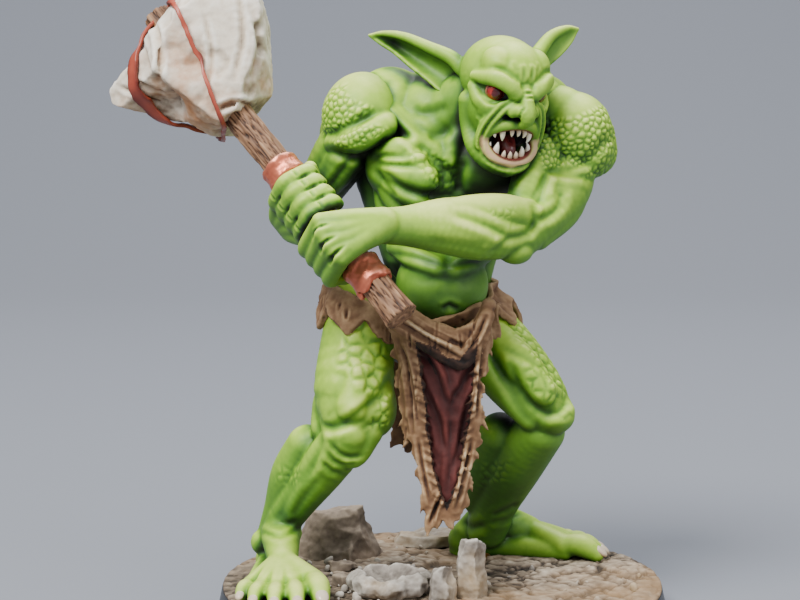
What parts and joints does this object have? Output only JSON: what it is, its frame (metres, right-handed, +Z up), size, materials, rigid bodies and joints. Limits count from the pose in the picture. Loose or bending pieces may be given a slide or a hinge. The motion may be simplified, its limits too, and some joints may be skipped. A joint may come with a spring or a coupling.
{
  "type": "painted miniature figure",
  "caption": "Painted resin tabletop figure of a crouching troll on a round scenic plinth, gripping a long-hafted maul with a strapped stone head.",
  "frame": {"origin": "centre of the plinth's flat underside", "axes": "+Z up; the figure faces -Y with its head turned towards +X; the maul reaches out to -X"},
  "size_m": [0.0741, 0.06, 0.0858],
  "materials": {
    "plinth_black": "satin black painted rim",
    "ground_sand": "dry-brushed cracked earth",
    "rock_brown": "brown rock, dry-brushed",
    "rock_pale": "grey-buff rock, dry-brushed",
    "skin_green": "green skin, washed and highlighted yellow-green",
    "nail_ivory": "ivory nails and teeth",
    "eye_red": "red eyes",
    "tongue_red": "dark red tongue",
    "hide_brown": "brown hide loincloth",
    "cloth_red": "dull red cloth",
    "shaft_wood": "painted wood grain",
    "ferrule_copper": "copper metallic paint",
    "maul_stone_paint": "pale stone with stains",
    "strap_leather": "red-brown leather strap",
    "pin_brass": "1 mm brass rod, sealed inside"
  },
  "bodies": {
    "root": {"base_plinth": "plinth_black", "ground_plate": "ground_sand", "boulder": "rock_brown", "ledge_stone": "rock_pale", "tall_standing_stone": "rock_pale", "short_standing_stone": "rock_pale", "side_slab": "rock_brown", "corner_slab": "rock_brown", "dish_stone": "rock_pale", "pebbles": "rock_pale", "torso": "skin_green", "pelvis": "skin_green", "right_leg": "skin_green", "left_leg": "skin_green", "right_arm": "skin_green", "left_arm": "skin_green", "right_hand": "skin_green", "left_hand": "skin_green", "head": "skin_green", "right_ear": "skin_green", "left_ear": "skin_green", "right_toenails": "nail_ivory", "left_toenails": "nail_ivory", "upper_teeth": "nail_ivory", "lower_teeth": "nail_ivory", "eyes": "eye_red", "tongue": "tongue_red", "waist_hide": "hide_brown", "front_hide": "hide_brown", "back_flap": "hide_brown", "red_cloth": "cloth_red", "maul_shaft": "shaft_wood", "maul_stone": "maul_stone_paint", "nose_strap": "strap_leather", "front_strap": "strap_leather", "upper_ferrule": "ferrule_copper", "lower_ferrule": "ferrule_copper", "right_foot_pin": "pin_brass", "left_foot_pin": "pin_brass", "right_hip_pin": "pin_brass", "left_hip_pin": "pin_brass", "waist_pin": "pin_brass", "right_shoulder_pin": "pin_brass", "left_shoulder_pin": "pin_brass", "neck_pin": "pin_brass", "right_wrist_pin": "pin_brass", "left_wrist_pin": "pin_brass"}
  },
  "joints": []
}
